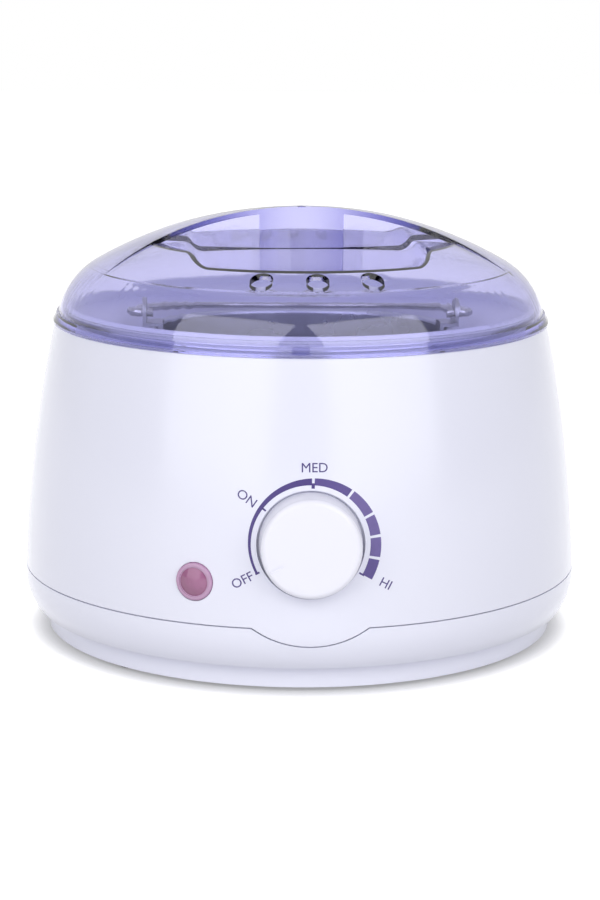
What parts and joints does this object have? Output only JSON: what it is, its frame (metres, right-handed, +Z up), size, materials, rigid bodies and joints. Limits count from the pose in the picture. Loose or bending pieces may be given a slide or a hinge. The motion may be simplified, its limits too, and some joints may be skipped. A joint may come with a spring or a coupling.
{
  "type": "wax warmer",
  "caption": "Round electric wax warmer: white two-part housing with a front heat dial and lamp, a lift-out metal pot with a wire bail, and a tinted clear domed lid.",
  "frame": {"origin": "centre of the part's bounding box, on the surface that the rubber feet stand on", "axes": "+Z up, -Y towards the front with the dial, +X to the right seen from the front"},
  "size_m": [0.1852, 0.1952, 0.1408],
  "materials": {
    "white_housing": "moulded polypropylene, gloss",
    "white_knob": "moulded ABS, satin gloss",
    "tinted_lid": "clear lavender acrylic",
    "lens_plastic": "clear red acrylic",
    "pot_aluminium": "spun, satin",
    "bowl_aluminium": "deep drawn",
    "steel_wire": "bright nickel-plated wire",
    "sheet_steel": "zinc-plated sheet",
    "screw_steel": "zinc-plated",
    "foot_rubber": "matt moulded rubber",
    "seal_silicone": "silicone",
    "mica_band": "mica and steel band",
    "fibre_wrap": "woven glass fibre",
    "brown_phenolic": "phenolic moulding",
    "brass_metal": "brass",
    "neon_glass": "glass bulb",
    "nylon_white": "moulded nylon",
    "wire_brown": "PVC insulation",
    "wire_white": "silicone insulation",
    "wire_blue": "PVC insulation",
    "wire_grey": "PVC insulation"
  },
  "bodies": {
    "housing": {"upper_housing": "white_housing", "base": "white_housing", "rubber_feet": "foot_rubber", "housing_screws": "screw_steel", "heater_bowl": "bowl_aluminium", "bowl_gasket": "seal_silicone", "bowl_screws": "screw_steel", "band_heater": "mica_band", "band_clamp": "sheet_steel", "band_clamp_screw": "screw_steel", "heat_wrap": "fibre_wrap", "heat_shield": "sheet_steel", "shield_screws": "screw_steel", "thermal_fuse": "brass_metal", "fuse_clip": "sheet_steel", "thermostat_case": "brown_phenolic", "thermostat_plate": "sheet_steel", "thermostat_screws": "screw_steel", "thermostat_tabs": "brass_metal", "indicator_lens": "lens_plastic", "lens_clip": "sheet_steel", "neon_bulb": "neon_glass", "bulb_holder": "nylon_white", "terminal_block": "nylon_white", "terminal_screws": "brass_metal", "cord_bush": "nylon_white", "cord_clamp": "nylon_white", "cord_clamp_screws": "screw_steel", "live_lead": "wire_brown", "heater_leads": "wire_white", "neutral_lead": "wire_blue", "lamp_leads": "wire_grey"},
    "knob": {"knob": "white_knob", "thermostat_shaft": "brass_metal"},
    "pot": {"wax_pot": "pot_aluminium", "pot_ears": "sheet_steel", "ear_rivets": "pot_aluminium"},
    "bail": {"bail_handle": "steel_wire"},
    "lid": {"lid": "tinted_lid"}
  },
  "joints": [
    {"name": "knob_turn", "type": "hinge", "parent": "housing", "child": "knob", "pos_m": [0, -0.0906, 0.0478], "axis": [0, 1, 0], "range_deg": [0, 239]},
    {"name": "pot_lift", "type": "slide", "parent": "housing", "child": "pot", "axis": [0, 0, 1], "range_m": [0, 0.12]},
    {"name": "lid_lift", "type": "slide", "parent": "pot", "child": "lid", "axis": [0, 0, 1], "range_m": [0, 0.15]},
    {"name": "bail_swing", "type": "hinge", "parent": "pot", "child": "bail", "pos_m": [0, 0, 0.1057], "axis": [1, 0, 0], "range_deg": [0, 95]}
  ],
  "couplings": [
    {"joint": "bail_swing", "follows": "lid_lift", "rad_per_m": 11}
  ]
}
